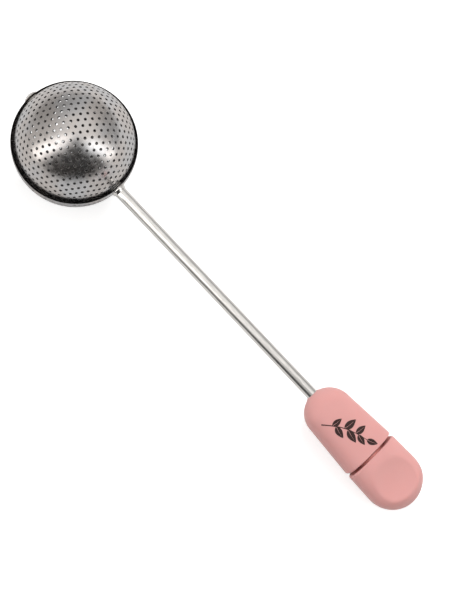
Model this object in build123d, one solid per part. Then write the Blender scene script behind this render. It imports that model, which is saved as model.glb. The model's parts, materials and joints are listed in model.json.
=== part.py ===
from build123d import *
import math
import os

# A one-hand tea infuser: a perforated ball of two half shells on a slim stem. The outer half shell
# is fixed to the stem's tube. The inner half shell is turned by a rod that runs through the tube to
# the twist knob, so half a turn of the knob nests one shell in the other and opens the ball.
#
# Everything is built in the stem's own frame, in mm: the ball's centre is the origin, +X runs along
# the stem to the knob, and +Z points out of the turning shell when the ball is closed. lay_down()
# then sets the infuser on its resting surface, as it lies on a table.

# Ball
BALL_R = 22.5            # outside of the fixed shell
SHEET = 0.5              # thickness of the pressed steel sheet
SHELL_GAP = 0.55         # between the fixed shell's inside and the turning shell's outside
FIXED_OVERLAP = 2.4      # each shell's edge reaches this far past the ball's middle plane
TURNING_OVERLAP = 1.4
TURNING_SHIFT = 0.3      # the turning bowl sits this far to +Y of the pivots' axis
FIXED_EAR_R = 3.4        # the ears carry the pivots, at the two ends of the turning axis
TURNING_EAR_R = 3.2

# Holes in the shells: a triangular grid, punched in the flat sheet before the bowl is pressed
HOLE_D = 1.0
HOLE_PITCH = 2.49
HOLE_GRID_TURN = 57.0    # degrees from the stem's axis to a row of holes
FIXED_GRID_SHIFT = (2.04, 0.84)
TURNING_GRID_SHIFT = (0.0, -0.15)
HOLE_TO_EDGE = 1.9       # from the shell's edge to the nearest hole's centre
HOLE_TO_PIVOT = 4.3      # from the turning axis to the nearest hole's centre

# Pivot at the ball's far end
RIVET_SHANK_R = 1.2
RIVET_HEAD_R = 2.85
RIVET_HEAD_H = 1.4
RUNNING_CLEARANCE = 0.05
WASHER_R = 2.4
TAIL_WASHER_R = 1.9
TAIL_WASHER_T = 0.6
RIVET_TAIL_X = 19.9

# Stem
TUBE_R = 2.15
TUBE_WALL = 0.4
TUBE_END_X = 148.0
ROD_R = 1.25
ROD_END_X = 166.5
TENON_R = 1.1
TENON_HALF_FLAT = 0.75
ROD_CAP_R = 2.0
ROD_CAP_T = 0.95
BUSHING_L = 5.0
COLLAR_R = 2.7
COLLAR_L = 1.5

# Handle: a grip fixed to the tube and a knob fixed to the rod, each a core in a soft cover
GRIP_NOSE_X = 122.3
GRIP_FACE_X = 151.5
GRIP_NOSE_R = 9.06
GRIP_FACE_HALF_W = 10.6
KNOB_FACE_X = 152.6
KNOB_END_X = 174.8
KNOB_FACE_HALF_W = 10.6
KNOB_END_R = 10.9
HANDLE_HALF_T = 6.5
LONG_EDGE_R = 6.0
FACE_EDGE_R = 0.5
COVER_WALL = 1.0

# Thumb hollows on both sides of the knob
THUMB_X = 164.4
THUMB_R = 8.2
THUMB_DEPTH = 1.5

# Twist bearing and stops between the grip and the knob
BOSS_R = 5.5             # round boss on the knob, seen in the gap
BOSS_CLEARANCE = 0.3
HUB_R = 2.5
HUB_X = 150.5
BEARING_BORE_R = 2.7
REAR_FLANGE_T = 0.6
DISC_SPRING_T = 0.25
DISC_SPRING_H = 0.75
THRUST_WASHER_T = 0.6
STOP_PIN_R = 0.55
STOP_PIN_TO_AXIS = 3.85
STOP_PIN_X = (145.0, 153.6)
STOP_CLEARANCE = 0.15
STOP_GROOVE_END_X = 154.0
KNOB_PIN_X = 160.0
KNOB_PIN_R = 0.75
KNOB_PIN_L = 12.0

# Worked out from the sizes above
FIXED_INNER_R = BALL_R - SHEET
TURNING_OUTER_R = FIXED_INNER_R - SHELL_GAP
TURNING_INNER_R = TURNING_OUTER_R - SHEET
TUBE_BORE_R = TUBE_R - TUBE_WALL
ROD_HOLE_R = ROD_R + RUNNING_CLEARANCE
TUBE_START_X = math.sqrt(FIXED_INNER_R ** 2 - TUBE_R ** 2)
WASHER_OUTER_X = math.sqrt(FIXED_INNER_R ** 2 - WASHER_R ** 2) - 0.02
WASHER_INNER_X = TURNING_OUTER_R + RUNNING_CLEARANCE
ROD_CAP_X = math.sqrt(TURNING_INNER_R ** 2 - (ROD_CAP_R + TURNING_SHIFT) ** 2) - ROD_CAP_T
WIDE = 4 * BALL_R


def x_cylinder(radius, x_from, x_to, y=0.0, z=0.0):
    """A cylinder along X between two stations."""
    cylinder = Cylinder(radius, x_to - x_from, rotation=(0, 90, 0))
    return Pos((x_from + x_to) / 2, y, z) * cylinder


def x_ring(outer_r, inner_r, x_from, x_to):
    """A tube along X between two stations."""
    margin = 1.0
    return x_cylinder(outer_r, x_from, x_to) - x_cylinder(inner_r, x_from - margin, x_to + margin)


def x_revolve(points):
    """A solid turned about X from (x, radius) points."""
    profile = make_face(Polyline([(x, radius) for x, radius in points], close=True))
    return revolve(profile, Axis.X)


def hole_directions(shell_r, overlap, side, grid_shift):
    """Unit vectors to the holes' centres. The flat sheet's grid keeps its area as it is pressed."""
    edge_angle = math.acos(-overlap / shell_r)
    reach = 2 * shell_r * math.sin(edge_angle / 2)
    rows = int(reach / (HOLE_PITCH * math.sin(math.radians(60)))) + 2
    turn = math.radians(HOLE_GRID_TURN)
    directions = []
    for row in range(-rows, rows + 1):
        for column in range(-rows * 2, rows * 2 + 1):
            along = HOLE_PITCH * (column + row / 2)
            across = HOLE_PITCH * math.sin(math.radians(60)) * row
            u = grid_shift[0] + along * math.cos(turn) - across * math.sin(turn)
            v = grid_shift[1] + along * math.sin(turn) + across * math.cos(turn)
            flat_r = math.hypot(u, v)
            if flat_r > reach:
                continue
            angle = 2 * math.asin(flat_r / (2 * shell_r))
            around = math.atan2(v, u)
            x = math.sin(angle) * math.cos(around)
            y = math.sin(angle) * math.sin(around)
            z = math.cos(angle)
            if shell_r * (edge_angle - angle) < HOLE_TO_EDGE:
                continue
            if shell_r * math.hypot(y, z) < HOLE_TO_PIVOT:
                continue
            directions.append(Vector(x, y, side * z))
    return directions


def half_shell(outer_r, overlap, ear_r, side, shift, grid_shift):
    """A perforated bowl with a round ear at each pivot. side is +1 above the stem, -1 below it."""
    ball = Sphere(outer_r) - Sphere(outer_r - SHEET)
    ball = Pos(0, shift, 0) * Rot(0, 90 * side, 0) * ball
    kept = Pos(0, 0, side * (WIDE / 2 - overlap)) * Box(WIDE, WIDE, WIDE)
    kept += x_cylinder(ear_r, -WIDE / 2, WIDE / 2)
    bowl = ball & kept
    holes = []
    for direction in hole_directions(outer_r, overlap, side, grid_shift):
        centre = direction * (outer_r - SHEET / 2) + Vector(0, shift, 0)
        middle = Plane(centre, z_dir=direction)
        holes.append(middle * Cylinder(HOLE_D / 2, 4 * SHEET))
    return bowl - holes


def tenon(x_from, x_to):
    """The rod's end with two flats, which drives the turning shell."""
    flats = Pos((x_from + x_to) / 2, 0, 0) * Box(x_to - x_from, 2 * TENON_R, 2 * TENON_HALF_FLAT)
    return x_cylinder(TENON_R, x_from, x_to) & flats


def fixed_shell():
    shell = half_shell(BALL_R, FIXED_OVERLAP, FIXED_EAR_R, -1, 0, FIXED_GRID_SHIFT)
    shell -= x_cylinder(TUBE_R, 0, WIDE)
    return shell - x_cylinder(RIVET_SHANK_R, -WIDE, 0)


def turning_shell():
    turning_r = TURNING_OUTER_R
    shell = half_shell(turning_r, TURNING_OVERLAP, TURNING_EAR_R, 1, TURNING_SHIFT, TURNING_GRID_SHIFT)
    shell -= tenon(BALL_R / 2, BALL_R)
    return shell - x_cylinder(RIVET_SHANK_R + RUNNING_CLEARANCE, -WIDE, 0)


def stem_tube():
    return x_ring(TUBE_R, TUBE_BORE_R, TUBE_START_X, TUBE_END_X)


def stem_collar():
    """The flared weld collar where the tube meets the ball."""
    start = BALL_R - 1.0
    end = BALL_R + COLLAR_L
    flare = x_revolve([
        (start, TUBE_R),
        (start, COLLAR_R),
        (BALL_R + 0.5, COLLAR_R),
        (end, TUBE_R + 0.1),
        (end, TUBE_R),
    ])
    return flare - Sphere(BALL_R)


def drive_rod():
    shank = x_cylinder(ROD_R, TURNING_OUTER_R, ROD_END_X)
    shank = chamfer(shank.edges().sort_by(Axis.X)[-1], 0.3)
    rod = shank + tenon(ROD_CAP_X, TURNING_OUTER_R)
    return rod - knob_pin()


def rod_cap():
    """The domed cap that holds the turning shell on the rod's tenon."""
    cap = x_cylinder(ROD_CAP_R, ROD_CAP_X, ROD_CAP_X + ROD_CAP_T)
    cap = fillet(cap.edges().sort_by(Axis.X)[0], 0.4)
    return cap - tenon(ROD_CAP_X - 1.0, BALL_R)


def front_bushing():
    """Guides the rod in the tube's front end. Its flange spaces the two shells' ears."""
    sleeve = x_cylinder(TUBE_BORE_R, WASHER_INNER_X, TUBE_START_X + BUSHING_L)
    flange = x_cylinder(WASHER_R, WASHER_INNER_X, WASHER_OUTER_X)
    return sleeve + flange - x_cylinder(ROD_HOLE_R, 0, TUBE_END_X)


def rear_bushing():
    """Guides the rod in the tube's rear end. Its flange carries the spring."""
    sleeve = x_cylinder(TUBE_BORE_R, TUBE_END_X - BUSHING_L, TUBE_END_X)
    flange = x_cylinder(HUB_R, TUBE_END_X, TUBE_END_X + REAR_FLANGE_T)
    return sleeve + flange - x_cylinder(ROD_HOLE_R, 0, WIDE * 2)


def pivot_rivet():
    """The low domed rivet at the far pole. Its shank is the turning shell's pivot."""
    head_x = -BALL_R + 0.03
    dome_r = (RIVET_HEAD_R ** 2 + RIVET_HEAD_H ** 2) / (2 * RIVET_HEAD_H)
    dome = Pos(head_x - RIVET_HEAD_H + dome_r, 0, 0) * Sphere(dome_r)
    head = dome & x_cylinder(RIVET_HEAD_R, head_x - 2 * RIVET_HEAD_H, head_x)
    shank = x_cylinder(RIVET_SHANK_R, head_x, -RIVET_TAIL_X)
    shank = fillet(shank.edges().sort_by(Axis.X)[-1], 0.3)
    return head + shank


def pivot_spacer():
    return x_ring(WASHER_R, RIVET_SHANK_R, -WASHER_OUTER_X, -WASHER_INNER_X)


def pivot_tail_washer():
    """The washer under the rivet's closed end, inside the turning shell."""
    far_x = -math.sqrt(TURNING_INNER_R ** 2 - TAIL_WASHER_R ** 2) + RUNNING_CLEARANCE
    washer = x_ring(TAIL_WASHER_R, RIVET_SHANK_R, far_x, far_x + TAIL_WASHER_T)
    rim = washer.edges().filter_by(GeomType.CIRCLE).sort_by(Axis.X)[-2:]
    return chamfer(rim.sort_by(SortBy.RADIUS)[-1], 0.15)


def handle_plan(face_x, face_half_w, round_x, round_r):
    """A plan with a straight end at face_x, whose sides run tangent into a round end."""
    run = face_x - round_x
    lean = math.atan2(face_half_w, run)
    spread = math.acos(round_r / math.hypot(run, face_half_w))
    angle = lean + math.copysign(spread, run)
    touch_x = round_x + round_r * math.cos(angle)
    touch_y = round_r * math.sin(angle)
    tip_x = round_x - math.copysign(round_r, run)
    outline = Line((face_x, face_half_w), (touch_x, touch_y))
    outline += ThreePointArc((touch_x, touch_y), (tip_x, 0), (touch_x, -touch_y))
    outline += Line((touch_x, -touch_y), (face_x, -face_half_w))
    outline += Line((face_x, -face_half_w), (face_x, face_half_w))
    return make_face(outline)


def handle_block(plan, face_x, inset, face_edge_r):
    """A pillow-edged block on a handle plan, inset from the cover's outside by the given wall."""
    half_t = HANDLE_HALF_T - inset
    block = extrude(plan, amount=half_t, both=True)
    level = block.edges().filter_by(lambda edge: abs(abs(edge.center().Z) - half_t) < 0.01)
    rims = level.filter_by(lambda edge: abs(edge.center().X - face_x) > 0.01)
    block = fillet(rims, LONG_EDGE_R - inset)
    if face_edge_r > 0:
        loop = block.edges().filter_by(lambda edge: abs(edge.center().X - face_x) < 0.01)
        block = fillet(loop, face_edge_r)
    return block


def grip_block(inset=0.0, face_edge_r=0.0):
    nose_centre_x = GRIP_NOSE_X + GRIP_NOSE_R
    plan = handle_plan(GRIP_FACE_X, GRIP_FACE_HALF_W - inset, nose_centre_x, GRIP_NOSE_R - inset)
    return handle_block(plan, GRIP_FACE_X, inset, face_edge_r)


def knob_block(inset=0.0, face_edge_r=0.0):
    end_centre_x = KNOB_END_X - KNOB_END_R
    plan = handle_plan(KNOB_FACE_X, KNOB_FACE_HALF_W - inset, end_centre_x, KNOB_END_R - inset)
    block = handle_block(plan, KNOB_FACE_X, inset, face_edge_r)
    hollow_r = (THUMB_R ** 2 + THUMB_DEPTH ** 2) / (2 * THUMB_DEPTH)
    hollow_z = HANDLE_HALF_T - THUMB_DEPTH + hollow_r
    for side in (-1, 1):
        block -= Pos(THUMB_X, 0, side * hollow_z) * Sphere(hollow_r + inset)
    return block


def grip_core():
    """The hard core that holds the tube's end, with the knob's bearing bore in its face."""
    core = grip_block(COVER_WALL)
    core -= x_cylinder(TUBE_R, 0, TUBE_END_X)
    core -= x_cylinder(BEARING_BORE_R, TUBE_END_X, GRIP_FACE_X + 1.0)
    return core - stop_pin()


def grip_cover():
    cover = grip_block(face_edge_r=FACE_EDGE_R) - grip_block(COVER_WALL)
    return cover - x_cylinder(TUBE_R, 0, GRIP_NOSE_X + GRIP_NOSE_R)


def disc_spring():
    """A coned spring washer that keeps the knob from rattling and holds it where it is turned to."""
    start = TUBE_END_X + REAR_FLANGE_T
    rise = DISC_SPRING_H - DISC_SPRING_T
    return x_revolve([
        (start, HUB_R),
        (start + DISC_SPRING_T, HUB_R),
        (start + DISC_SPRING_H, ROD_HOLE_R + 0.1),
        (start + rise, ROD_HOLE_R + 0.1),
    ])


def thrust_washer():
    start = TUBE_END_X + REAR_FLANGE_T + DISC_SPRING_H
    return x_ring(HUB_R, ROD_HOLE_R, start, start + THRUST_WASHER_T)


def stop_pin():
    """The pin in the grip's face that stops the knob at the two ends of its half turn."""
    return x_cylinder(STOP_PIN_R, *STOP_PIN_X, z=-STOP_PIN_TO_AXIS)


def stop_groove():
    """The half-circle groove in the knob's face that runs over the stop pin."""
    half_w = STOP_PIN_R + STOP_CLEARANCE
    start = HUB_X
    ring = x_ring(STOP_PIN_TO_AXIS + half_w, STOP_PIN_TO_AXIS - half_w, start, STOP_GROOVE_END_X)
    groove = ring & Pos(0, -WIDE, 0) * Box(4 * WIDE, 2 * WIDE, WIDE)
    for side in (-1, 1):
        groove += x_cylinder(half_w, start, STOP_GROOVE_END_X, z=side * STOP_PIN_TO_AXIS)
    return groove


def knob_core():
    """The hard core that is pinned to the rod, with its round boss and the bearing hub."""
    core = knob_block(COVER_WALL)
    core += x_cylinder(BOSS_R, GRIP_FACE_X + BOSS_CLEARANCE, KNOB_FACE_X)
    core += x_cylinder(HUB_R, HUB_X, KNOB_FACE_X)
    core -= x_cylinder(ROD_R, 0, ROD_END_X)
    core -= knob_pin()
    return core - stop_groove()


def knob_cover():
    return knob_block(face_edge_r=FACE_EDGE_R) - knob_block(COVER_WALL)


def knob_pin():
    """The cross pin that drives the rod from the knob."""
    return Pos(KNOB_PIN_X, 0, 0) * Cylinder(KNOB_PIN_R, KNOB_PIN_L, rotation=(90, 0, 0))


def resting_angle():
    """How far the handle dips so that the ball and the knob's lower edge meet the table."""
    edge_x = KNOB_END_X - LONG_EDGE_R
    edge_z = -(HANDLE_HALF_T - LONG_EDGE_R)
    drop = BALL_R - LONG_EDGE_R
    return math.asin(drop / math.hypot(edge_x, edge_z)) + math.atan2(edge_z, edge_x)


def lay_down(pieces):
    """Sets the infuser on z = 0, with the middle of its length over the origin."""
    tilt = Pos(0, 0, BALL_R) * Rot(0, math.degrees(resting_angle()), 0)
    laid = {name: tilt * piece for name, piece in pieces.items()}
    rivet_box = laid["pivot_rivet"].bounding_box()
    knob_box = laid["knob_cover"].bounding_box()
    shift = Pos(-(rivet_box.min.X + knob_box.max.X) / 2, 0, 0)
    print("ball centre at x =", round(shift.position.X, 4), "z =", BALL_R)
    print("tilt in degrees =", round(math.degrees(resting_angle()), 4))
    return {name: shift * piece for name, piece in laid.items()}


pieces = {
    "fixed_shell": fixed_shell(),
    "turning_shell": turning_shell(),
    "stem_tube": stem_tube(),
    "stem_collar": stem_collar(),
    "drive_rod": drive_rod(),
    "rod_cap": rod_cap(),
    "front_bushing": front_bushing(),
    "rear_bushing": rear_bushing(),
    "pivot_rivet": pivot_rivet(),
    "pivot_spacer": pivot_spacer(),
    "pivot_tail_washer": pivot_tail_washer(),
    "grip_core": grip_core(),
    "grip_cover": grip_cover(),
    "disc_spring": disc_spring(),
    "thrust_washer": thrust_washer(),
    "stop_pin": stop_pin(),
    "knob_core": knob_core(),
    "knob_cover": knob_cover(),
    "knob_pin": knob_pin(),
}

os.makedirs("parts", exist_ok=True)
for name, piece in lay_down(pieces).items():
    export_step(piece, "parts/" + name + ".step")
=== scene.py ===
import json
import math

import bpy
import numpy as np
from mathutils import Matrix, Vector
from mathutils.geometry import delaunay_2d_cdt


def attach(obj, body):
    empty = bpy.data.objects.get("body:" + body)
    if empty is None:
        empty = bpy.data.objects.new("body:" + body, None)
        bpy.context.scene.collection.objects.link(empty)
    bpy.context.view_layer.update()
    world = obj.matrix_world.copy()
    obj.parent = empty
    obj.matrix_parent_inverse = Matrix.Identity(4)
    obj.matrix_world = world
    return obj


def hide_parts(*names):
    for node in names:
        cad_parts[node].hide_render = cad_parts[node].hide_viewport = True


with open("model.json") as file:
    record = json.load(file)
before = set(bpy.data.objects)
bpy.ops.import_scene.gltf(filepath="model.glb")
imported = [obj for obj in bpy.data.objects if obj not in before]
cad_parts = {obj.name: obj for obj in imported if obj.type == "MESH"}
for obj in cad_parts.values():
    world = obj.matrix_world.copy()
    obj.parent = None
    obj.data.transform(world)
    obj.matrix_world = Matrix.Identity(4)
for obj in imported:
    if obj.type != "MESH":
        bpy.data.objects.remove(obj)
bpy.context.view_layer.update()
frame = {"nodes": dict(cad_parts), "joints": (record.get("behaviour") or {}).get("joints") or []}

# A one-hand tea infuser. The pieces are modelled in mm in the stem's own frame, which comes from the
# twist joint: the ball's centre is the origin, +X runs along the stem to the knob, and +Z points
# out of the turning shell. TO_ROW places them in the row frame, in metres.

TWIST = frame["joints"][0]
STEM_X = Vector(TWIST["axis"]).normalized()
STEM_Y = Vector((0, 1, 0))
STEM_Z = STEM_X.cross(STEM_Y)
STEM_AXES = Matrix((STEM_X, STEM_Y, STEM_Z)).transposed()
BALL_CENTRE = Vector(TWIST["pos_m"])
TO_ROW = Matrix.Translation(BALL_CENTRE) @ STEM_AXES.to_4x4() @ Matrix.Scale(0.001, 4)


def stem_box(node):
    """(lowest corner, highest corner) of a CAD node in the stem's frame, in mm."""
    mesh = frame["nodes"][node].data
    corners = np.zeros(len(mesh.vertices) * 3)
    mesh.vertices.foreach_get("co", corners)
    back = np.array(TO_ROW.inverted())
    points = corners.reshape(-1, 3) @ back[:3, :3].T + back[:3, 3]
    return points.min(0), points.max(0)


# ---------------------------------------------------------------- materials

# Painted shade: a near-black steel colour. The shells' rims, hole walls and insides are darkened towards it,
# standing in for the shadow in the gap between the shells and inside the ball.
PAINTED_SHADE_STEEL = (0.012, 0.011, 0.01)


def new_material(name):
    """A material, its node tree and its shader."""
    material = bpy.data.materials.new(name)
    material.use_nodes = True
    tree = material.node_tree
    shader = tree.nodes["Principled BSDF"]
    return material, tree, shader


def set_inputs(node, **values):
    for key, value in values.items():
        node.inputs[key.replace("_", " ")].default_value = value


def add_noise(tree, scale, stretch=(1, 1, 1), turn=(0, 0, 0), detail=3.0, roughness=0.5):
    """Noise in the piece's own coordinates. scale is in features per metre."""
    place = tree.nodes.new("ShaderNodeTexCoord")
    mapping = tree.nodes.new("ShaderNodeMapping")
    mapping.inputs["Scale"].default_value = stretch
    mapping.inputs["Rotation"].default_value = turn
    noise = tree.nodes.new("ShaderNodeTexNoise")
    set_inputs(noise, Scale=scale, Detail=detail, Roughness=roughness)
    tree.links.new(place.outputs["Object"], mapping.inputs["Vector"])
    tree.links.new(mapping.outputs["Vector"], noise.inputs["Vector"])
    return noise.outputs["Fac"]


def add_range(tree, value, low, high, start=0.35, end=0.65):
    """value, from start to end, spread over low to high."""
    spread = tree.nodes.new("ShaderNodeMapRange")
    spread.interpolation_type = "SMOOTHSTEP"
    spread.inputs["From Min"].default_value = start
    spread.inputs["From Max"].default_value = end
    spread.inputs["To Min"].default_value = low
    spread.inputs["To Max"].default_value = high
    tree.links.new(value, spread.inputs["Value"])
    return spread.outputs["Result"]


def add_blend(tree, share, colour_a, colour_b):
    """Colour between two colours by share."""
    mix = tree.nodes.new("ShaderNodeMix")
    mix.data_type = "RGBA"
    tree.links.new(share, mix.inputs["Factor"])
    for socket, colour in (("A", colour_a), ("B", colour_b)):
        target = [s for s in mix.inputs if s.name == socket and s.type == "RGBA"][0]
        if isinstance(colour, bpy.types.NodeSocket):
            tree.links.new(colour, target)
        else:
            target.default_value = (*colour, 1)
    return [s for s in mix.outputs if s.type == "RGBA"][0]


def add_bump(tree, height, distance, strength=1.0, under=None):
    """A bump of the given depth in metres, on top of another bump if one is given."""
    bump = tree.nodes.new("ShaderNodeBump")
    set_inputs(bump, Distance=distance, Strength=strength)
    tree.links.new(height, bump.inputs["Height"])
    if under is not None:
        tree.links.new(under, bump.inputs["Normal"])
    return bump.outputs["Normal"]


def shell_steel(name, cool, warm, rough_low, rough_high):
    """Satin sheet steel with drift, grain and pressing marks, with painted shade: darkened to near black and
    made rougher where the mesh's shade attribute is raised.
    """
    material, tree, shader = new_material(name)
    set_inputs(shader, Metallic=1.0)
    drift = add_range(tree, add_noise(tree, 90, detail=2), 0, 1)
    fine = add_range(tree, add_noise(tree, 2600, detail=4, roughness=0.6), 0, 1)
    tint = add_blend(tree, drift, cool, warm)
    grey = add_blend(tree, fine, tuple(0.93 * c for c in cool), cool)
    both = tree.nodes.new("ShaderNodeMix")
    both.data_type = "RGBA"
    both.inputs["Factor"].default_value = 0.5
    sockets = [s for s in both.inputs if s.type == "RGBA"]
    tree.links.new(tint, sockets[0])
    tree.links.new(grey, sockets[1])
    bright = [s for s in both.outputs if s.type == "RGBA"][0]
    # Painted shade: a per-point mesh attribute darkens the steel towards near black, and roughens it, on the
    # rims, hole walls and insides.
    painted_shade = tree.nodes.new("ShaderNodeAttribute")
    painted_shade.attribute_name = "painted_shade"
    tint_with_painted_shade = add_blend(tree, painted_shade.outputs["Fac"], bright, PAINTED_SHADE_STEEL)
    tree.links.new(tint_with_painted_shade, shader.inputs["Base Color"])
    satin = add_range(tree, add_noise(tree, 500), rough_low, rough_high)
    rough = tree.nodes.new("ShaderNodeMath")
    rough.operation = "MULTIPLY_ADD"
    rough.inputs[1].default_value = 0.25
    tree.links.new(painted_shade.outputs["Fac"], rough.inputs[0])
    tree.links.new(satin, rough.inputs[2])
    tree.links.new(rough.outputs[0], shader.inputs["Roughness"])
    marks = add_bump(tree, add_noise(tree, 260, detail=1), 0.00002, 0.5)
    grain = add_bump(tree, add_noise(tree, 5200, detail=3, roughness=0.7), 0.000004, 0.5, under=marks)
    tree.links.new(grain, shader.inputs["Normal"])
    return material


def drawn_steel(name, colour, rough_low, rough_high, line_depth=0.000003):
    """Polished steel with fine lines along the stem."""
    material, tree, shader = new_material(name)
    set_inputs(shader, Metallic=1.0)
    tilt = math.atan2(-STEM_X.z, STEM_X.x)
    lines = add_noise(tree, 3200, stretch=(0.02, 1, 1), turn=(0, -tilt, 0), detail=3)
    tint = add_blend(tree, add_range(tree, lines, 0, 1), colour, tuple(0.86 * c for c in colour))
    tree.links.new(tint, shader.inputs["Base Color"])
    tree.links.new(add_range(tree, lines, rough_low, rough_high), shader.inputs["Roughness"])
    tree.links.new(add_bump(tree, lines, line_depth, 0.6), shader.inputs["Normal"])
    return material


def soft_touch(name, light, deep):
    """Soft-touch plastic: a velvety skin with fine grain and slight colour drift."""
    material, tree, shader = new_material(name)
    set_inputs(shader, Roughness=0.5, Sheen_Weight=0.25, Sheen_Roughness=0.45)
    shader.inputs["Specular IOR Level"].default_value = 0.35
    shader.inputs["Subsurface Weight"].default_value = 0.12
    shader.inputs["Subsurface Radius"].default_value = (0.0022, 0.0009, 0.0007)
    shader.inputs["Subsurface Scale"].default_value = 1.0
    drift = add_range(tree, add_noise(tree, 70, detail=2), 0, 1, 0.3, 0.7)
    tree.links.new(add_blend(tree, drift, light, deep), shader.inputs["Base Color"])
    tree.links.new(add_range(tree, add_noise(tree, 900), 0.46, 0.58), shader.inputs["Roughness"])
    grain = add_bump(tree, add_noise(tree, 5000, detail=4, roughness=0.65), 0.00001, 0.35)
    tree.links.new(grain, shader.inputs["Normal"])
    return material


def plain_plastic(name, colour, roughness):
    """Moulded plastic with a faint texture."""
    material, tree, shader = new_material(name)
    mottle = add_range(tree, add_noise(tree, 800), 0, 1)
    tint = add_blend(tree, mottle, colour, tuple(0.92 * c for c in colour))
    tree.links.new(tint, shader.inputs["Base Color"])
    shader.inputs["Roughness"].default_value = roughness
    tree.links.new(add_bump(tree, add_noise(tree, 3000), 0.000008, 0.4), shader.inputs["Normal"])
    return material


SHELL_STEEL = shell_steel("shell_steel", (0.60, 0.60, 0.61), (0.66, 0.58, 0.52), 0.20, 0.30)
STEM_STEEL = drawn_steel("stem_steel", (0.90, 0.875, 0.85), 0.14, 0.24)
INNER_STEEL = drawn_steel("inner_steel", (0.60, 0.60, 0.60), 0.25, 0.4)
SOFT_PINK = soft_touch("soft_pink", (0.775, 0.385, 0.365), (0.75, 0.365, 0.345))
CORE_PINK = plain_plastic("core_pink", (0.66, 0.26, 0.23), 0.5)
NYLON = plain_plastic("nylon", (0.82, 0.81, 0.77), 0.45)
PRINT_INK = plain_plastic("print_ink", (0.03, 0.008, 0.006), 0.6)


# ---------------------------------------------------------------- mesh helpers

def make_piece(name, points, faces, material, body, replaced=(), normals=None):
    """A mesh piece from points in the stem's frame, in mm, riding on its body."""
    mesh = bpy.data.meshes.new(name)
    corners = np.asarray(points, float)
    matrix = np.array(TO_ROW)
    placed = corners @ matrix[:3, :3].T + matrix[:3, 3]
    mesh.from_pydata(placed.tolist(), [], faces)
    mesh.polygons.foreach_set("use_smooth", [True] * len(mesh.polygons))
    mesh.update()
    if normals is not None:
        turned = np.asarray(normals, float) @ np.array(STEM_AXES).T
        turned /= np.linalg.norm(turned, axis=1)[:, None]
        mesh.normals_split_custom_set_from_vertices(turned.tolist())
    mesh.materials.append(material)
    piece = bpy.data.objects.new(name, mesh)
    bpy.context.scene.collection.objects.link(piece)
    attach(piece, body)
    if replaced:
        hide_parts(*replaced)
    return piece


def bridge(ring_a, ring_b):
    """Quads between two closed rings of vertex numbers."""
    count = len(ring_a)
    return [(ring_a[i], ring_a[(i + 1) % count], ring_b[(i + 1) % count], ring_b[i]) for i in range(count)]


def turned_piece(name, profile, material, body, replaced=(), sides=96):
    """A closed ring turned about the stem's axis from an (x, radius) profile, listed outside first."""
    points = []
    rings = []
    for x, radius in profile:
        rings.append(list(range(len(points), len(points) + sides)))
        for i in range(sides):
            angle = 2 * math.pi * i / sides
            points.append((x, radius * math.cos(angle), radius * math.sin(angle)))
    faces = []
    for a, b in zip(rings, rings[1:] + rings[:1]):
        faces += bridge(b, a)
    return make_piece(name, points, faces, material, body, replaced)


def rounded(corners, radius, steps=5):
    """The closed profile with each corner rounded by an arc of up to the given radius."""
    result = []
    count = len(corners)
    for i in range(count):
        here = np.array(corners[i], float)
        to_last = np.array(corners[i - 1], float) - here
        to_next = np.array(corners[(i + 1) % count], float) - here
        len_last = np.linalg.norm(to_last)
        len_next = np.linalg.norm(to_next)
        cut = min(radius, 0.45 * len_last, 0.45 * len_next)
        start = here + to_last / len_last * cut
        end = here + to_next / len_next * cut
        for step in range(steps + 1):
            t = step / steps
            point = (1 - t) ** 2 * start + 2 * t * (1 - t) * here + t ** 2 * end
            result.append(tuple(point))
    return result


# ---------------------------------------------------------------- perforated shells

SHEET = 0.5
HOLE_D = 1.0
HOLE_PITCH = 2.49
HOLE_GRID_TURN = 57.0
FIXED_GRID_SHIFT = (2.04, 0.84)
TURNING_GRID_SHIFT = (0.0, -0.15)
HOLE_TO_EDGE = 1.9
HOLE_TO_PIVOT = 4.3
# Painted shade on the shells' rims: full darkening, standing in for the shadow in the gap between the two
# shells.
EDGE_PAINTED_SHADE = 1.0
EDGE_ROUND = 0.07
HOLE_SIDES = 20
RIM_SIDES = 540
ROW_STEP = HOLE_PITCH * math.sin(math.radians(60))


def flatten(direction, shell_r):
    """Where a direction from the ball's centre falls on the flat sheet, which keeps its area."""
    angle = math.acos(max(-1.0, min(1.0, direction[2])))
    around = math.atan2(direction[1], direction[0])
    reach = 2 * shell_r * math.sin(angle / 2)
    return reach * math.cos(around), reach * math.sin(around)


def lift(u, v, shell_r):
    """The direction from the ball's centre of a point on the flat sheet."""
    reach = math.hypot(u, v)
    angle = 2 * math.asin(min(1.0, reach / (2 * shell_r)))
    around = math.atan2(v, u)
    return (math.sin(angle) * math.cos(around), math.sin(angle) * math.sin(around), math.cos(angle))


def edge_angle(around, shell_r, overlap, ear_r, shift):
    """The polar angle of the shell's edge: level all round, and lower at the two ears."""
    level = math.acos(-overlap / shell_r)

    def off_axis(polar):
        return math.hypot(shell_r * math.sin(polar) * math.sin(around) + shift, shell_r * math.cos(polar))

    if off_axis(level) >= ear_r:
        return level
    low, high = level, level + 0.3
    for _ in range(24):
        middle = (low + high) / 2
        if off_axis(middle) < ear_r:
            low = middle
        else:
            high = middle
    return low


def circle_on_shell(centre, radius, shell_r, sides):
    """A circle round a direction, on the flat sheet."""
    middle = Vector(centre)
    side_a = middle.orthogonal().normalized()
    side_b = middle.cross(side_a)
    ring = []
    for i in range(sides):
        angle = 2 * math.pi * i / sides
        out = side_a * math.cos(angle) + side_b * math.sin(angle)
        direction = middle * math.sqrt(1 - (radius / shell_r) ** 2) + out * (radius / shell_r)
        ring.append(flatten(direction, shell_r))
    return ring


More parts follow.
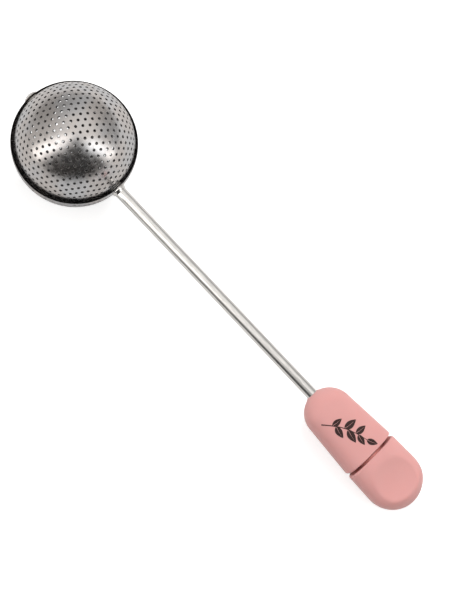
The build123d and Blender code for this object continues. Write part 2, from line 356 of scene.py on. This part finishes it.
def sheet_grid(shell_r, grid_shift):
    """Every grid point on the flat sheet: (u, v, whether the point is a hole's centre)."""
    turn = math.radians(HOLE_GRID_TURN)
    rows = int(2 * shell_r / ROW_STEP) + 2
    for row in range(-rows, rows + 1):
        for column in range(-2 * rows, 2 * rows + 1):
            for third in range(3):
                along = HOLE_PITCH * (column + row / 2 + third * 0.5)
                across = ROW_STEP * (row + third / 3)
                u = grid_shift[0] + along * math.cos(turn) - across * math.sin(turn)
                v = grid_shift[1] + along * math.sin(turn) + across * math.cos(turn)
                if math.hypot(u, v) < 1.6 * shell_r:
                    yield u, v, third == 0


def perforated_shell(name, node, side, overlap, shift, grid_shift, ear_r, near_hole_r, far_hole_r,
                     inside_painted_shade, body):
    """A pressed half shell with its holes, its rolled edges and its ears, as one closed sheet, with painted
    shade on its inside, its hole walls and its rim.
    """
    low, high = stem_box(node)
    shell_r = (high[1] - low[1]) / 2
    level = math.acos(-overlap / shell_r)
    pivot_x = math.sqrt(1 - (shift / shell_r) ** 2)
    flat = []
    chains = []
    walls = []

    def add_loop(ring, wall):
        start = len(flat)
        flat.extend(ring)
        numbers = list(range(start, len(flat)))
        chains.extend(zip(numbers, numbers[1:] + numbers[:1]))
        if wall is not None:
            walls.append((numbers, wall))

    def rim(inset):
        ring = []
        for i in range(RIM_SIDES):
            around = 2 * math.pi * i / RIM_SIDES
            polar = edge_angle(around, shell_r, overlap - inset, ear_r - inset, shift)
            reach = 2 * shell_r * math.sin(polar / 2)
            ring.append((reach * math.cos(around), reach * math.sin(around)))
        return ring

    add_loop(rim(0), "rim")
    add_loop(rim(EDGE_ROUND), None)
    for end, hole_r in ((1, near_hole_r), (-1, far_hole_r)):
        pivot = (end * pivot_x, -shift / shell_r, 0)
        add_loop(circle_on_shell(pivot, hole_r, shell_r, 48), "hole")
        add_loop(circle_on_shell(pivot, hole_r + EDGE_ROUND, shell_r, 48), None)
    fill = []
    for u, v, is_hole in sheet_grid(shell_r, grid_shift):
        x, y, z = lift(u, v, shell_r)
        polar = math.acos(z)
        off_axis = math.hypot(shell_r * y + shift, shell_r * z)
        open_here = shell_r * (level - polar) >= HOLE_TO_EDGE and shell_r * math.hypot(y, z) >= HOLE_TO_PIVOT
        if is_hole and open_here:
            add_loop(circle_on_shell((x, y, z), HOLE_D / 2, shell_r, HOLE_SIDES), "hole")
            add_loop(circle_on_shell((x, y, z), HOLE_D / 2 + EDGE_ROUND, shell_r, HOLE_SIDES), None)
            continue
        edge = edge_angle(math.atan2(y, x), shell_r, overlap, ear_r, shift)
        hole_here = near_hole_r if x > 0 else far_hole_r
        if shell_r * (edge - polar) > 0.5 and off_axis > hole_here + 0.5:
            fill.append((u, v))
    flat.extend(fill)

    made = delaunay_2d_cdt([Vector(p) for p in flat], chains, [], 0, 1e-7)
    flat_points, triangles, came_from = made[0], made[2], made[3]
    number_of = {}
    for new, olds in enumerate(came_from):
        for old in olds:
            number_of[old] = new
    count = len(flat_points)
    directions = np.array([lift(p[0], p[1], shell_r) for p in flat_points])

    loop_of = {}
    for k, (numbers, wall) in enumerate(walls):
        for n in numbers:
            loop_of[number_of[n]] = k
    kept = []
    for triangle in triangles:
        loops = {loop_of.get(n) for n in triangle}
        if len(loops) == 1 and None not in loops:
            if walls[loops.pop()][1] == "hole":
                continue
            middle = np.mean([np.array(flat_points[n]) for n in triangle], axis=0)
            x, y, z = lift(middle[0], middle[1], shell_r)
            if math.acos(z) > edge_angle(math.atan2(y, x), shell_r, overlap, ear_r, shift):
                continue
        a, b, c = (flat_points[n] for n in triangle)
        turn = (b[0] - a[0]) * (c[1] - a[1]) - (b[1] - a[1]) * (c[0] - a[0])
        kept.append(tuple(triangle) if turn > 0 else tuple(reversed(triangle)))

    outer_r = np.full(count, shell_r)
    inner_r = np.full(count, shell_r - SHEET)
    # Painted shade per point: none on the outer surface, the given inside level on the inner surface.
    outer_painted_shade = np.zeros(count)
    inner_painted_shade = np.full(count, inside_painted_shade)
    outer_n = directions.copy()
    inner_n = -directions
    faces = list(kept)
    faces += [tuple(n + count for n in reversed(t)) for t in kept]
    for numbers, wall in walls:
        ring = [number_of[n] for n in numbers]
        centre = directions[ring].mean(axis=0)
        if wall == "rim":
            centre = np.array((0.0, 0.0, 2.0))
        signed = 0.0
        for n, m in zip(ring, ring[1:] + ring[:1]):
            signed += flat_points[n][0] * flat_points[m][1] - flat_points[m][0] * flat_points[n][1]
        outward_ccw = signed > 0
        for n in ring:
            out = centre - directions[n]
            out -= out.dot(directions[n]) * directions[n]
            out /= np.linalg.norm(out)
            if wall == "rim":
                out = -out
            outer_r[n] -= EDGE_ROUND
            inner_r[n] += EDGE_ROUND
            # Painted shade: rim walls get the full edge level, hole walls get the inside level.
            outer_painted_shade[n] = EDGE_PAINTED_SHADE if wall == "rim" else inside_painted_shade
            inner_painted_shade[n] = outer_painted_shade[n]
            outer_n[n] = directions[n] + out
            inner_n[n] = -directions[n] + out
        for n, m in zip(ring, ring[1:] + ring[:1]):
            quad = (n, n + count, m + count, m)
            if not outward_ccw:
                quad = tuple(reversed(quad))
            faces.append(quad)
    points = np.vstack([directions * outer_r[:, None], directions * inner_r[:, None]])
    normals = np.vstack([outer_n, inner_n])
    if side < 0:
        points[:, 2] *= -1
        normals[:, 2] *= -1
        faces = [tuple(reversed(f)) for f in faces]
    points[:, 1] += shift
    piece = make_piece(name, points, faces, SHELL_STEEL, body, [node], normals)
    # The painted shade levels are stored on the mesh for the steel material to read.
    painted_shade = piece.data.attributes.new("painted_shade", "FLOAT", "POINT")
    painted_shade.data.foreach_set("value", np.concatenate([outer_painted_shade, inner_painted_shade]))
    return piece


tube_low, tube_high = stem_box("stem_tube")
TUBE_R = tube_high[1]
FIXED_R = stem_box("fixed_shell")[1][1]
# The inside levels give painted shade on the insides and hole walls, deeper in the turning bowl.
perforated_shell("fixed_bowl", "fixed_shell", side=-1, overlap=2.4, shift=0.0,
                 grid_shift=FIXED_GRID_SHIFT, ear_r=3.4, near_hole_r=TUBE_R, far_hole_r=1.2,
                 inside_painted_shade=0.3, body="stem")
perforated_shell("turning_bowl", "turning_shell", side=1, overlap=1.4, shift=0.3,
                 grid_shift=TURNING_GRID_SHIFT, ear_r=3.2, near_hole_r=1.1, far_hole_r=1.25,
                 inside_painted_shade=0.55, body="rotor")


# ---------------------------------------------------------------- stem, collar and rivet

TUBE_WALL = 0.4
RIVET_HEAD_H = 1.4
RIVET_SHANK_R = 1.2


def stem_pieces():
    """The stem's tube and the flared collar at its root."""
    bore = TUBE_R - TUBE_WALL
    start, end = tube_low[0], tube_high[0]
    body = [(start, bore), (start, TUBE_R)]
    steps = 24
    for i in range(1, steps):
        body.append((start + (end - start) * i / steps, TUBE_R))
    body += [(end, TUBE_R), (end, bore)]
    turned_piece("stem", rounded(body, 0.05, 2), STEM_STEEL, "stem", ["stem_tube"])
    low, high = stem_box("stem_collar")
    widest = high[1]
    on_ball = math.sqrt(FIXED_R ** 2 - widest ** 2)
    flare = [(on_ball - 0.1, TUBE_R - 0.02), (on_ball, widest - 0.05), (on_ball + 0.25, widest),
             (FIXED_R + 0.45, widest - 0.02), (FIXED_R + 0.85, TUBE_R + 0.25),
             (high[0] - 0.02, TUBE_R + 0.06), (high[0], TUBE_R - 0.02)]
    turned_piece("collar", rounded(flare, 0.12, 3), STEM_STEEL, "stem", ["stem_collar"])


def rivet_piece():
    """The low domed rivet at the ball's far pole, with its shank."""
    low, high = stem_box("pivot_rivet")
    head_r = high[1]
    seat = low[0] + RIVET_HEAD_H
    dome_r = (head_r ** 2 + RIVET_HEAD_H ** 2) / (2 * RIVET_HEAD_H) + 0.6
    profile = []
    for i in range(13):
        radius = head_r * 0.93 * i / 12 + 0.001
        profile.append((low[0] + dome_r - math.sqrt(dome_r ** 2 - radius ** 2), radius))
    profile += [(seat - 0.35, head_r), (seat - 0.06, head_r), (seat, head_r - 0.12),
                (seat, RIVET_SHANK_R), (high[0] - 0.3, RIVET_SHANK_R), (high[0], 0.9), (high[0], 0.001)]
    turned_piece("rivet", profile, STEM_STEEL, "stem", ["pivot_rivet"])


stem_pieces()
rivet_piece()


# ---------------------------------------------------------------- handle

HANDLE_HALF_T = stem_box("grip_cover")[1][2]
GRIP_NOSE_R = 9.06
KNOB_END_R = 10.9
KNOB_FACE_HALF_W = 10.6
FACE_CORNER_R = 0.8
FACE_EDGE_R = 0.3
COVER_WALL = 1.0
SIDE_POWER = 2.8
TIP_LENGTH = 7.0
THUMB_X = 164.3
THUMB_HALF_SIZE = (8.2, 8.3)
THUMB_DEPTH = 1.55
THUMB_RIM_DROP = 0.9
THUMB_BLEND = 0.22
AROUND = 160


def half_width(run, length, tip_r, face_half_w):
    """Half the handle's width at a distance from its round tip."""
    centre_to_face = length - tip_r
    lean = math.atan2(face_half_w, centre_to_face)
    spread = math.acos(tip_r / math.hypot(centre_to_face, face_half_w))
    touch = math.pi - lean - spread
    touch_run = tip_r - tip_r * math.cos(touch)
    touch_w = tip_r * math.sin(touch)
    if run < touch_run:
        return math.sqrt(max(0.0, tip_r ** 2 - (tip_r - run) ** 2))
    return touch_w + (face_half_w - touch_w) * (run - touch_run) / (length - touch_run)


def half_thickness(run):
    if run < TIP_LENGTH:
        return HANDLE_HALF_T * math.sqrt(1 - (1 - run / TIP_LENGTH) ** 2)
    return HANDLE_HALF_T


def smooth_step(value):
    value = max(0.0, min(1.0, value))
    return value * value * (3 - 2 * value)


def section(x, half_w, half_t, power):
    """One ring of the handle's pillow-shaped cross-section."""
    ring = []
    for i in range(AROUND):
        angle = 2 * math.pi * i / AROUND
        c, s = math.cos(angle), math.sin(angle)
        y = math.copysign(half_w * abs(c) ** (2 / power), c)
        z = math.copysign(half_t * abs(s) ** (2 / power), s)
        ring.append((x, y, z))
    return ring


def handle_sections(tip_x, face_x, tip_r, face_half_w):
    """The outside of one half of the handle, from near its tip to the rounded edge of its face."""
    length = abs(face_x - tip_x)
    toward = math.copysign(1.0, face_x - tip_x)
    runs = [tip_r * (1 - math.cos(math.radians(t))) for t in np.linspace(6, 84, 27)]
    runs += list(np.linspace(runs[-1], length - FACE_CORNER_R, 26)[1:])
    rings = []
    for run in runs:
        power = 2 + (SIDE_POWER - 2) * smooth_step(run / TIP_LENGTH)
        half_w = half_width(run, length, tip_r, face_half_w)
        rings.append(section(tip_x + toward * run, half_w, half_thickness(run), power))
    for turn in np.radians(np.linspace(0, 90, 15)[1:]):
        to_face = FACE_CORNER_R * (1 - math.sin(turn))
        less_w = FACE_CORNER_R * (1 - math.cos(turn))
        into_edge = max(0.0, FACE_EDGE_R - to_face)
        less_t = FACE_EDGE_R - math.sqrt(FACE_EDGE_R ** 2 - into_edge ** 2)
        half_w = half_width(length - to_face, length, tip_r, face_half_w) - less_w
        rings.append(section(tip_x + toward * (length - to_face), half_w, HANDLE_HALF_T - less_t, SIDE_POWER))
    return rings


def cover_lip(face_x, toward, face_half_w):
    """The cover's end: across the wall to the core and a short way in."""
    inner_w = face_half_w - COVER_WALL
    inner_t = HANDLE_HALF_T - COVER_WALL
    return [section(face_x, inner_w + 0.03, inner_t + 0.03, SIDE_POWER + 0.2),
            section(face_x - toward * 0.06, inner_w, inner_t, SIDE_POWER + 0.2),
            section(face_x - toward * 2.0, inner_w - 0.1, inner_t - 0.1, SIDE_POWER + 0.2)]


def skin(rings, start_closed=None):
    """Points and faces over a list of rings, with a point closing the first ring if one is given."""
    points = [p for ring in rings for p in ring]
    faces = []
    for k in range(len(rings) - 1):
        a = list(range(k * AROUND, (k + 1) * AROUND))
        b = list(range((k + 1) * AROUND, (k + 2) * AROUND))
        faces += bridge(a, b)
    if start_closed is not None:
        centre = len(points)
        points.append(start_closed)
        faces += [(centre, (i + 1) % AROUND, i) for i in range(AROUND)]
    return points, faces


def grip_piece():
    low, high = stem_box("grip_cover")
    tip_x, face_x = low[0], high[0]
    rings = handle_sections(tip_x, face_x, GRIP_NOSE_R, high[1])
    mouth = [section(tip_x + 1.5, TUBE_R, TUBE_R, 2), section(tip_x + 0.05, TUBE_R, TUBE_R, 2),
             section(tip_x + 0.02, TUBE_R + 0.05, TUBE_R + 0.05, 2)]
    usable = [r for r in rings if max(p[2] for p in r) > TUBE_R + 0.35]
    rings = mouth + usable + cover_lip(face_x, 1, high[1])
    points, faces = skin(rings)
    faces = [tuple(reversed(f)) for f in faces]
    return make_piece("grip", points, faces, SOFT_PINK, "stem", ["grip_cover"])


def press_thumb_hollow(point):
    """Lowers a point of the knob's broad faces to the thumb hollow, with a soft rim."""
    x, y, z = point
    along = (x - THUMB_X) / THUMB_HALF_SIZE[0]
    across = y / THUMB_HALF_SIZE[1]
    floor = HANDLE_HALF_T - THUMB_DEPTH + THUMB_DEPTH * along ** 2
    floor += (THUMB_DEPTH - THUMB_RIM_DROP) * across ** 2
    gap = max(THUMB_BLEND * 2 - abs(abs(z) - floor), 0.0) / (THUMB_BLEND * 2)
    level = min(abs(z), floor) - gap * gap * THUMB_BLEND / 2
    if abs(z) < 0.5 * HANDLE_HALF_T or level > abs(z):
        return point
    return x, y, math.copysign(level, z)


def knob_piece():
    low, high = stem_box("knob_cover")
    tip_x, face_x = high[0], low[0]
    rings = handle_sections(tip_x, face_x, KNOB_END_R, KNOB_FACE_HALF_W)
    rings = [[press_thumb_hollow(p) for p in ring] for ring in rings]
    rings += cover_lip(face_x, -1, KNOB_FACE_HALF_W)
    points, faces = skin(rings, (tip_x, 0, 0))
    return make_piece("knob", points, faces, SOFT_PINK, "rotor", ["knob_cover"])


grip_piece()
knob_piece()


# ---------------------------------------------------------------- printed sprig on the grip

PRINT_HEIGHT = 0.03
PRINT_ROOT = -0.05
SPRIG_START = (131.8, -6.2)
SPRIG_END = (146.6, 1.8)
LEAF_LENGTH = 5.2
LEAF_WIDTH = 1.3


def grip_top(x, y):
    """Height of the grip's upper face in the stem's frame."""
    low, high = stem_box("grip_cover")
    length = high[0] - low[0]
    run = x - low[0]
    share = min(1.0, abs(y) / half_width(run, length, GRIP_NOSE_R, high[1]))
    power = 2 + (SIDE_POWER - 2) * smooth_step(run / TIP_LENGTH)
    return half_thickness(run) * (1 - share ** power) ** (1 / power)


def ribbon(left, right):
    """A thin closed strip of print between two rows of (x, y) points on the grip's face."""
    points = []
    for row in (left, right):
        for x, y in row:
            points.append((x, y, grip_top(x, y) + PRINT_HEIGHT))
    for row in (left, right):
        for x, y in row:
            points.append((x, y, grip_top(x, y) + PRINT_ROOT))
    n = len(left)
    faces = []
    for i in range(n - 1):
        faces.append((i, n + i, n + i + 1, i + 1))
        faces.append((2 * n + i, 2 * n + i + 1, 3 * n + i + 1, 3 * n + i))
        faces.append((i, i + 1, 2 * n + i + 1, 2 * n + i))
        faces.append((n + i, 3 * n + i, 3 * n + i + 1, n + i + 1))
    faces.append((0, 2 * n, 3 * n, n))
    faces.append((n - 1, 2 * n - 1, 4 * n - 1, 3 * n - 1))
    return points, faces


def leaf_strips(root, heading, length, width):
    """The two halves of a leaf, with its vein left bare between them."""
    along = np.array((math.cos(heading), math.sin(heading)))
    aside = np.array((-along[1], along[0]))
    strips = []
    for side in (-1, 1):
        vein, edge = [], []
        for t in np.linspace(0.0, 1.0, 15):
            bend = 0.12 * length * t * t
            spine = np.array(root) + along * length * t + aside * bend
            bulge = width * math.sin(math.pi * t ** 0.8) ** 0.9 if 0 < t < 1 else 0.0
            vein.append(tuple(spine + aside * side * (0.06 * (1 - t) + 0.01)))
            edge.append(tuple(spine + aside * side * (0.06 * (1 - t) + 0.02 + bulge)))
        strips.append((vein, edge) if side < 0 else (edge, vein))
    return strips


def sprig_piece():
    """A generic tea sprig: a curved stalk with paired leaves and a bud."""
    start, end = np.array(SPRIG_START), np.array(SPRIG_END)
    heading = math.atan2(*(end - start)[::-1])
    bow = np.array((-math.sin(heading), math.cos(heading))) * 1.3

    def stalk(t):
        return start + (end - start) * t + bow * math.sin(math.pi * t)

    strips = []
    left, right = [], []
    for t in np.linspace(0, 1, 41):
        ahead = stalk(min(1.0, t + 0.01)) - stalk(max(0.0, t - 0.01))
        aside = np.array((-ahead[1], ahead[0])) / np.linalg.norm(ahead)
        half = 0.2 - 0.1 * t
        left.append(tuple(stalk(t) + aside * half))
        right.append(tuple(stalk(t) - aside * half))
    strips.append((left, right))
    leaves = ((0.22, 1, 0.8), (0.3, -1, 0.9), (0.48, 1, 1.0),
              (0.56, -1, 1.0), (0.74, 1, 0.85), (0.8, -1, 0.8))
    for t, side, size in leaves:
        lean = heading + side * math.radians(48)
        strips += leaf_strips(stalk(t), lean, LEAF_LENGTH * size, LEAF_WIDTH * size)
    strips += leaf_strips(stalk(1.0), heading - math.radians(10), LEAF_LENGTH * 0.8, LEAF_WIDTH * 0.8)
    points, faces = [], []
    for left, right in strips:
        more_points, more_faces = ribbon(left, right)
        faces += [tuple(n + len(points) for n in face) for face in more_faces]
        points += more_points
    piece = make_piece("sprig_print", points, faces, PRINT_INK, "stem")
    piece.data.polygons.foreach_set("use_smooth", [False] * len(piece.data.polygons))
    return piece


sprig_piece()


# ---------------------------------------------------------------- CAD pieces that stay

KEPT = {
    "drive_rod": INNER_STEEL, "rod_cap": INNER_STEEL, "front_bushing": NYLON, "rear_bushing": NYLON,
    "pivot_spacer": NYLON, "pivot_tail_washer": INNER_STEEL, "grip_core": CORE_PINK,
    "disc_spring": INNER_STEEL, "thrust_washer": INNER_STEEL, "stop_pin": INNER_STEEL,
    "knob_core": CORE_PINK, "knob_pin": INNER_STEEL,
}
for node, material in KEPT.items():
    materials = frame["nodes"][node].data.materials
    materials.clear()
    materials.append(material)


# ---------------------------------------------------------------- camera

CAMERA_DISTANCE = 406.0
CAMERA_AIM_X = 77.0
CAMERA_LEAN = 11.0
CAMERA_TURN = 136.55
LENS = 68.6


def place_camera():
    """Looks down on the stem, leaning towards -Y, with the ball at the view's upper left."""
    data = bpy.data.cameras.new("camera")
    data.lens = LENS
    data.sensor_width = 36.0
    data.clip_start = 0.01
    camera = bpy.data.objects.new("camera", data)
    bpy.context.scene.collection.objects.link(camera)
    lean = math.radians(CAMERA_LEAN)
    turn = math.radians(CAMERA_TURN)
    back = Vector((0, -math.sin(lean), math.cos(lean)))
    level_up = Vector((0, math.cos(lean), math.sin(lean)))
    level_right = Vector((1, 0, 0))
    up = level_right * math.cos(turn) + level_up * math.sin(turn)
    right = up.cross(back)
    axes = STEM_AXES @ Matrix((right, up, back)).transposed()
    aim = TO_ROW @ Vector((CAMERA_AIM_X, 0.6, 0))
    spot = aim + STEM_AXES @ back * CAMERA_DISTANCE * 0.001
    camera.matrix_world = Matrix.Translation(spot) @ axes.to_4x4()
    bpy.context.scene.camera = camera
    return axes, spot


camera_axes, camera_spot = place_camera()


# ---------------------------------------------------------------- floor and light

FLOOR_SIZE = 6.0
FLOOR_GREY = (0.72, 0.72, 0.72, 1)
FLOOR_GLOW = 0.62
SKY_LEVEL = 0.58
BAND_LIGHT = 1.5
CROWN_LIGHT = 0.38
SHADE_DEPTH = 0.35
DARK_DEPTH = 0.94
KEY_SIZE = 0.45
KEY_POWER = 2.9
KEY_DISTANCE = 0.8


def floor_stage():
    """A plain pale floor, seen nearly white and clear from below."""
    half = FLOOR_SIZE / 2
    mesh = bpy.data.meshes.new("floor")
    corners = [(-half, -half, 0), (half, -half, 0), (half, half, 0), (-half, half, 0)]
    mesh.from_pydata(corners, [], [(0, 1, 2, 3)])
    floor = bpy.data.objects.new("floor", mesh)
    bpy.context.scene.collection.objects.link(floor)
    material = bpy.data.materials.new("floor")
    material.use_nodes = True
    tree = material.node_tree
    tree.nodes.clear()
    out = tree.nodes.new("ShaderNodeOutputMaterial")
    diffuse = tree.nodes.new("ShaderNodeBsdfDiffuse")
    diffuse.inputs["Color"].default_value = FLOOR_GREY
    glow = tree.nodes.new("ShaderNodeEmission")
    glow.inputs["Color"].default_value = (1, 1, 1, 1)
    glow.inputs["Strength"].default_value = FLOOR_GLOW
    seen = tree.nodes.new("ShaderNodeLightPath")
    lit = tree.nodes.new("ShaderNodeAddShader")
    pick = tree.nodes.new("ShaderNodeMixShader")
    tree.links.new(diffuse.outputs[0], lit.inputs[0])
    tree.links.new(glow.outputs[0], lit.inputs[1])
    tree.links.new(seen.outputs["Is Camera Ray"], pick.inputs[0])
    tree.links.new(diffuse.outputs[0], pick.inputs[1])
    tree.links.new(lit.outputs[0], pick.inputs[2])
    clear = tree.nodes.new("ShaderNodeBsdfTransparent")
    side = tree.nodes.new("ShaderNodeNewGeometry")
    two = tree.nodes.new("ShaderNodeMixShader")
    tree.links.new(side.outputs["Backfacing"], two.inputs[0])
    tree.links.new(pick.outputs[0], two.inputs[1])
    tree.links.new(clear.outputs[0], two.inputs[2])
    tree.links.new(two.outputs[0], out.inputs["Surface"])
    mesh.materials.append(material)


def studio_light():
    """The sky: two bright bands, a crown and dark areas, placed where the ball reflects them.

    They are laid out in the camera's axes at rest, and stay fixed in the world for every other view.
    """
    world = bpy.data.worlds.new("studio")
    bpy.context.scene.world = world
    world.use_nodes = True
    tree = world.node_tree
    tree.nodes.clear()
    place = tree.nodes.new("ShaderNodeTexCoord").outputs["Generated"]

    def math_node(operation, *inputs):
        node = tree.nodes.new("ShaderNodeMath")
        node.operation = operation
        for socket, value in zip(node.inputs, inputs):
            if isinstance(value, bpy.types.NodeSocket):
                tree.links.new(value, socket)
            else:
                socket.default_value = value
        return node.outputs[0]

    def along(axis):
        node = tree.nodes.new("ShaderNodeVectorMath")
        node.operation = "DOT_PRODUCT"
        tree.links.new(place, node.inputs[0])
        node.inputs[1].default_value = axis
        return node.outputs["Value"]

    back = (camera_spot - BALL_CENTRE).normalized()
    up = camera_axes.col[1]
    up = (up - up.dot(back) * back).normalized()
    right = up.cross(back)
    spread = math_node("SQRT", math_node("MAXIMUM", math_node("MULTIPLY_ADD", along(back), 2.0, 2.0), 0.0001))
    ball_u = math_node("DIVIDE", along(right), spread)
    ball_v = math_node("DIVIDE", along(up), spread)

    def patch(centre, radii, turn, soft):
        """1 inside a soft ellipse on the mirror ball, 0 outside."""
        c, s = math.cos(math.radians(turn)), math.sin(math.radians(turn))
        du = math_node("SUBTRACT", ball_u, centre[0])
        dv = math_node("SUBTRACT", ball_v, centre[1])
        p = math_node("MULTIPLY_ADD", du, c / radii[0], math_node("MULTIPLY", dv, s / radii[0]))
        q = math_node("MULTIPLY_ADD", du, -s / radii[1], math_node("MULTIPLY", dv, c / radii[1]))
        reach = math_node("SQRT", math_node("ADD", math_node("MULTIPLY", p, p), math_node("MULTIPLY", q, q)))
        node = tree.nodes.new("ShaderNodeMapRange")
        node.interpolation_type = "SMOOTHSTEP"
        node.inputs["From Min"].default_value = 1 - soft
        node.inputs["From Max"].default_value = 1 + soft
        node.inputs["To Min"].default_value = 1.0
        node.inputs["To Max"].default_value = 0.0
        tree.links.new(reach, node.inputs["Value"])
        return node.outputs["Result"]

    left_band = patch((-0.46, -0.10), (0.40, 0.11), 27, 0.5)
    right_band = patch((0.46, -0.14), (0.33, 0.12), -27, 0.5)
    crown = patch((0.10, 0.22), (0.34, 0.28), 0, 0.7)
    left_shade = patch((-0.38, 0.58), (0.42, 0.2), 28, 0.7)
    right_shade = patch((0.56, 0.36), (0.2, 0.32), 35, 0.7)
    shade = math_node("MAXIMUM", left_shade, right_shade)
    light = math_node("MULTIPLY_ADD", left_band, BAND_LIGHT, SKY_LEVEL)
    light = math_node("MULTIPLY_ADD", right_band, BAND_LIGHT, light)
    light = math_node("MULTIPLY_ADD", crown, CROWN_LIGHT, light)
    light = math_node("MULTIPLY", light, math_node("MULTIPLY_ADD", shade, -SHADE_DEPTH, 1.0))
    dark_base = patch((0.02, -0.48), (0.58, 0.26), 0, 0.3)
    dark_shoulders = patch((0.02, -0.31), (0.50, 0.20), 0, 0.35)
    dark_peak = patch((0.02, -0.20), (0.18, 0.24), 0, 0.45)
    dark = math_node("MAXIMUM", math_node("MAXIMUM", dark_base, dark_shoulders), dark_peak)
    light = math_node("MULTIPLY", light, math_node("MULTIPLY_ADD", dark, -DARK_DEPTH, 1.0))

    background = tree.nodes.new("ShaderNodeBackground")
    background.inputs["Color"].default_value = (1.0, 0.985, 0.97, 1)
    plain = tree.nodes.new("ShaderNodeBackground")
    plain.inputs["Color"].default_value = (0.96, 0.96, 0.96, 1)
    seen = tree.nodes.new("ShaderNodeLightPath")
    tree.links.new(light, background.inputs["Strength"])
    pick = tree.nodes.new("ShaderNodeMixShader")
    tree.links.new(seen.outputs["Is Camera Ray"], pick.inputs[0])
    tree.links.new(background.outputs[0], pick.inputs[1])
    tree.links.new(plain.outputs[0], pick.inputs[2])
    out = tree.nodes.new("ShaderNodeOutputWorld")
    tree.links.new(pick.outputs[0], out.inputs["Surface"])


def key_light():
    """A wide soft box above the top of the view, which gives the handle its shading."""
    data = bpy.data.lights.new("key", "AREA")
    data.shape = "DISK"
    data.size = KEY_SIZE
    data.energy = KEY_POWER
    lamp = bpy.data.objects.new("key", data)
    bpy.context.scene.collection.objects.link(lamp)
    aim = TO_ROW @ Vector((CAMERA_AIM_X + 60, 0, 0))
    away = (camera_axes.col[1] * 0.75 + camera_axes.col[0] * 0.2 + camera_axes.col[2] * 0.5).normalized()
    facing = away.to_track_quat("Z", "Y").to_matrix().to_4x4()
    lamp.matrix_world = Matrix.Translation(aim + away * KEY_DISTANCE) @ facing
    lamp.visible_glossy = False


floor_stage()
studio_light()
key_light()
bpy.context.scene.view_settings.view_transform = "Standard"
